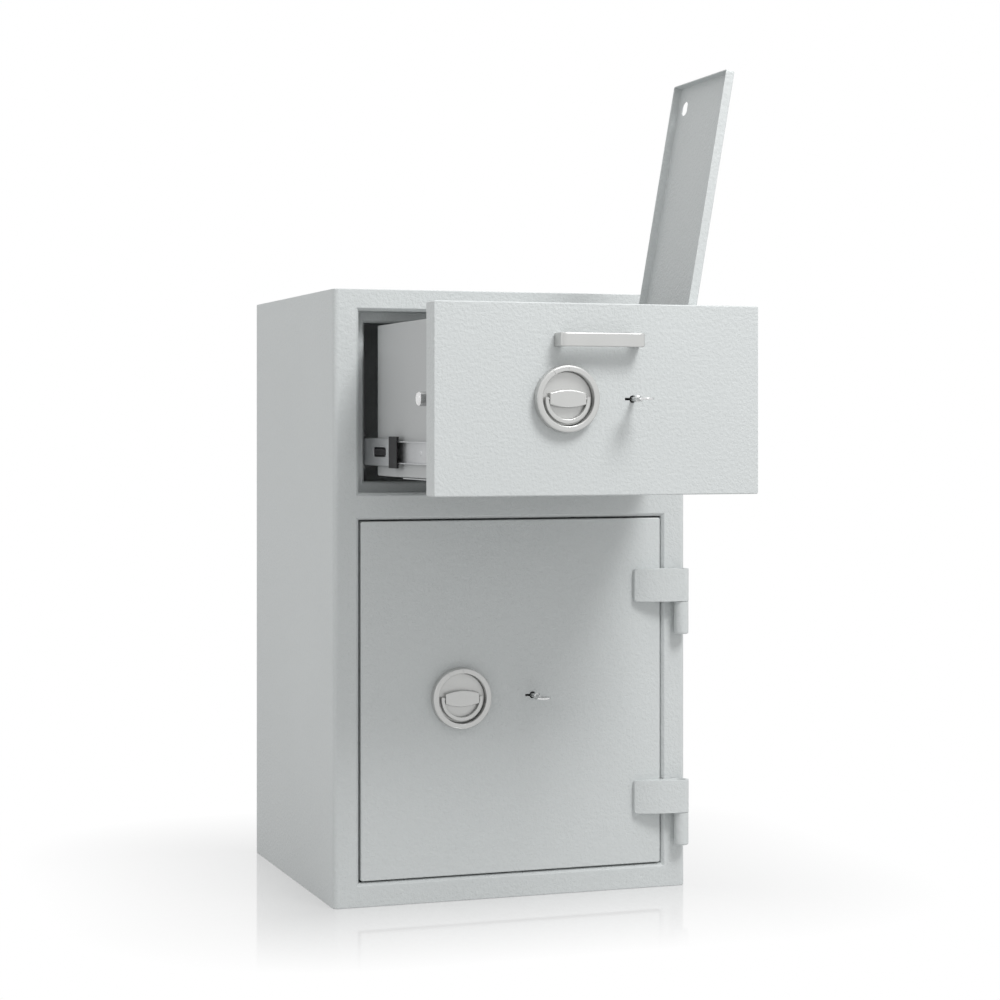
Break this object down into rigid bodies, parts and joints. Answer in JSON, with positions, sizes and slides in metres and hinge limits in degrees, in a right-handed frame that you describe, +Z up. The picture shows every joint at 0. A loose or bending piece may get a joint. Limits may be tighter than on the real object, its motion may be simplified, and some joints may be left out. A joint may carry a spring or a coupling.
{
  "type": "drop safe",
  "caption": "Steel drop safe: a hinged door with boltwork and key lock below, and a sliding deposit drawer with hinged lid, trap floor and its own bolts above",
  "frame": {"origin": "centre of the cabinet's footprint, on the underside of its base", "axes": "+Z up, -Y towards the front that the door and the drawer open to, +X to the right seen from the front (hinge side); at rest the drawer is pulled out with its lid up and the door is closed"},
  "size_m": [0.505, 0.805, 1.0904],
  "materials": {
    "textured_grey": "fine textured powder coat, light grey",
    "inner_grey": "smooth powder coat, light grey",
    "satin_silver": "satin silver on die-cast metal",
    "zinc_steel": "zinc plated",
    "bolt_steel": "bright nickel plated",
    "black_plastic": "matt black moulding"
  },
  "bodies": {
    "cabinet": {"front_stile_left": "textured_grey", "front_stile_right": "textured_grey", "front_sill_rail": "textured_grey", "front_middle_rail": "textured_grey", "front_head_rail": "textured_grey", "side_wall_left": "textured_grey", "side_wall_right": "textured_grey", "roof_panel": "textured_grey", "base_panel": "textured_grey", "back_wall": "textured_grey", "divider_shelf": "inner_grey", "slide_cabinet_member_left": "zinc_steel", "slide_cabinet_member_right": "zinc_steel", "hinge_barrel_upper": "textured_grey", "hinge_barrel_lower": "textured_grey"},
    "outer_cages": {"slide_outer_cage_left": "zinc_steel", "slide_outer_cage_right": "zinc_steel"},
    "middle_members": {"slide_middle_member_left": "zinc_steel", "slide_middle_member_right": "zinc_steel", "slide_bumper_left": "black_plastic", "slide_bumper_right": "black_plastic"},
    "inner_cages": {"slide_inner_cage_left": "zinc_steel", "slide_inner_cage_right": "zinc_steel"},
    "drawer": {"slide_drawer_member_left": "zinc_steel", "slide_drawer_member_right": "zinc_steel", "slide_lever_left": "black_plastic", "slide_lever_right": "black_plastic", "drawer_front_panel": "textured_grey", "drawer_back_plate": "inner_grey", "drawer_tray": "inner_grey", "tray_top_cover": "inner_grey", "trap_frame": "inner_grey", "boltwork_cover": "inner_grey", "drawer_pull_handle": "satin_silver", "drawer_handle_ring": "satin_silver", "drawer_lock_case": "zinc_steel"},
    "drawer_lid": {"drawer_lid": "textured_grey"},
    "trap_flap": {"trap_flap": "inner_grey"},
    "drawer_knob": {"drawer_handle_dish": "satin_silver", "drawer_spindle": "bolt_steel"},
    "drawer_bail": {"drawer_bail": "satin_silver"},
    "drawer_bolt_left": {"drawer_bolt_left": "bolt_steel"},
    "drawer_bolt_right": {"drawer_bolt_right": "bolt_steel"},
    "drawer_lock_curtain": {"drawer_lock_curtain": "bolt_steel"},
    "drawer_lock_bolt": {"drawer_lock_bolt": "bolt_steel"},
    "drawer_key": {"drawer_key": "bolt_steel"},
    "door": {"door_leaf": "textured_grey", "door_inner_plate": "inner_grey", "door_inner_cover": "inner_grey", "door_hinge_strap_upper": "textured_grey", "door_hinge_strap_lower": "textured_grey", "door_handle_ring": "satin_silver", "door_lock_case": "zinc_steel"},
    "door_knob": {"door_handle_dish": "satin_silver", "door_spindle": "bolt_steel"},
    "door_bail": {"door_bail": "satin_silver"},
    "door_bolts": {"door_bolt_bar": "bolt_steel"},
    "door_lock_curtain": {"door_lock_curtain": "bolt_steel"},
    "door_lock_bolt": {"door_lock_bolt": "bolt_steel"},
    "door_key": {"door_key": "bolt_steel"}
  },
  "joints": [
    {"name": "outer_cage_slide", "type": "slide", "parent": "cabinet", "child": "outer_cages", "axis": [0, 1, 0], "range_m": [0, 0.07875]},
    {"name": "middle_member_slide", "type": "slide", "parent": "outer_cages", "child": "middle_members", "axis": [0, 1, 0], "range_m": [0, 0.07875]},
    {"name": "inner_cage_slide", "type": "slide", "parent": "middle_members", "child": "inner_cages", "axis": [0, 1, 0], "range_m": [0, 0.07875]},
    {"name": "drawer_slide", "type": "slide", "parent": "inner_cages", "child": "drawer", "axis": [0, 1, 0], "range_m": [0, 0.07875]},
    {"name": "lid_hinge", "type": "hinge", "parent": "drawer", "child": "drawer_lid", "pos_m": [0.1385, -0.4198, 0.77025], "axis": [0, -1, 0], "range_deg": [0, 100]},
    {"name": "trap_hinge", "type": "hinge", "parent": "drawer", "child": "trap_flap", "pos_m": [0, -0.35, 0.5687], "axis": [1, 0, 0], "range_deg": [0, 70], "stiffness_Nm_per_rad": 0.3, "springref_deg": -114.59},
    {"name": "drawer_knob_turn", "type": "hinge", "parent": "drawer", "child": "drawer_knob", "pos_m": [-0.0455, -0.535, 0.67125], "axis": [0, -1, 0], "range_deg": [0, 30]},
    {"name": "drawer_bail_fold", "type": "hinge", "parent": "drawer_knob", "child": "drawer_bail", "pos_m": [-0.0455, -0.5422, 0.67125], "axis": [-1, 0, 0], "range_deg": [0, 90]},
    {"name": "drawer_bolt_left_slide", "type": "slide", "parent": "drawer", "child": "drawer_bolt_left", "axis": [1, 0, 0], "range_m": [0, 0.01864]},
    {"name": "drawer_bolt_right_slide", "type": "slide", "parent": "drawer", "child": "drawer_bolt_right", "axis": [-1, 0, 0], "range_m": [0, 0.01864]},
    {"name": "drawer_key_turn", "type": "hinge", "parent": "drawer", "child": "drawer_lock_curtain", "pos_m": [0.0435, -0.505, 0.67125], "axis": [0, -1, 0], "range_deg": [0, 180]},
    {"name": "drawer_lock_bolt_slide", "type": "slide", "parent": "drawer", "child": "drawer_lock_bolt", "axis": [0, 0, 1], "range_m": [0, 0.00701]},
    {"name": "drawer_key_slide", "type": "slide", "parent": "drawer_lock_curtain", "child": "drawer_key", "axis": [0, -1, 0], "range_m": [0, 0.06]},
    {"name": "door_hinge", "type": "hinge", "parent": "cabinet", "child": "door", "pos_m": [0.242, -0.2315, 0.2729], "axis": [0, 0, 1], "range_deg": [0, 180]},
    {"name": "door_knob_turn", "type": "hinge", "parent": "door", "child": "door_knob", "pos_m": [-0.0765, -0.22, 0.27285], "axis": [0, -1, 0], "range_deg": [0, 30]},
    {"name": "door_bail_fold", "type": "hinge", "parent": "door_knob", "child": "door_bail", "pos_m": [-0.0765, -0.2272, 0.27285], "axis": [-1, 0, 0], "range_deg": [0, 90]},
    {"name": "door_bolts_slide", "type": "slide", "parent": "door", "child": "door_bolts", "axis": [-1, 0, 0], "range_m": [0, 0.01864]},
    {"name": "door_key_turn", "type": "hinge", "parent": "door", "child": "door_lock_curtain", "pos_m": [0.027, -0.19, 0.27285], "axis": [0, -1, 0], "range_deg": [0, 180]},
    {"name": "door_lock_bolt_slide", "type": "slide", "parent": "door", "child": "door_lock_bolt", "axis": [0, 0, 1], "range_m": [0, 0.00701]},
    {"name": "door_key_slide", "type": "slide", "parent": "door_lock_curtain", "child": "door_key", "axis": [0, -1, 0], "range_m": [0, 0.06]}
  ],
  "couplings": [
    {"joint": "drawer_bolt_left_slide", "follows": "drawer_knob_turn", "m_per_rad": 0.03559},
    {"joint": "drawer_bolt_right_slide", "follows": "drawer_knob_turn", "m_per_rad": 0.03559},
    {"joint": "drawer_lock_bolt_slide", "follows": "drawer_key_turn", "m_per_rad": 0.0022281},
    {"joint": "door_bolts_slide", "follows": "door_knob_turn", "m_per_rad": 0.03559},
    {"joint": "door_lock_bolt_slide", "follows": "door_key_turn", "m_per_rad": 0.0022281}
  ]
}
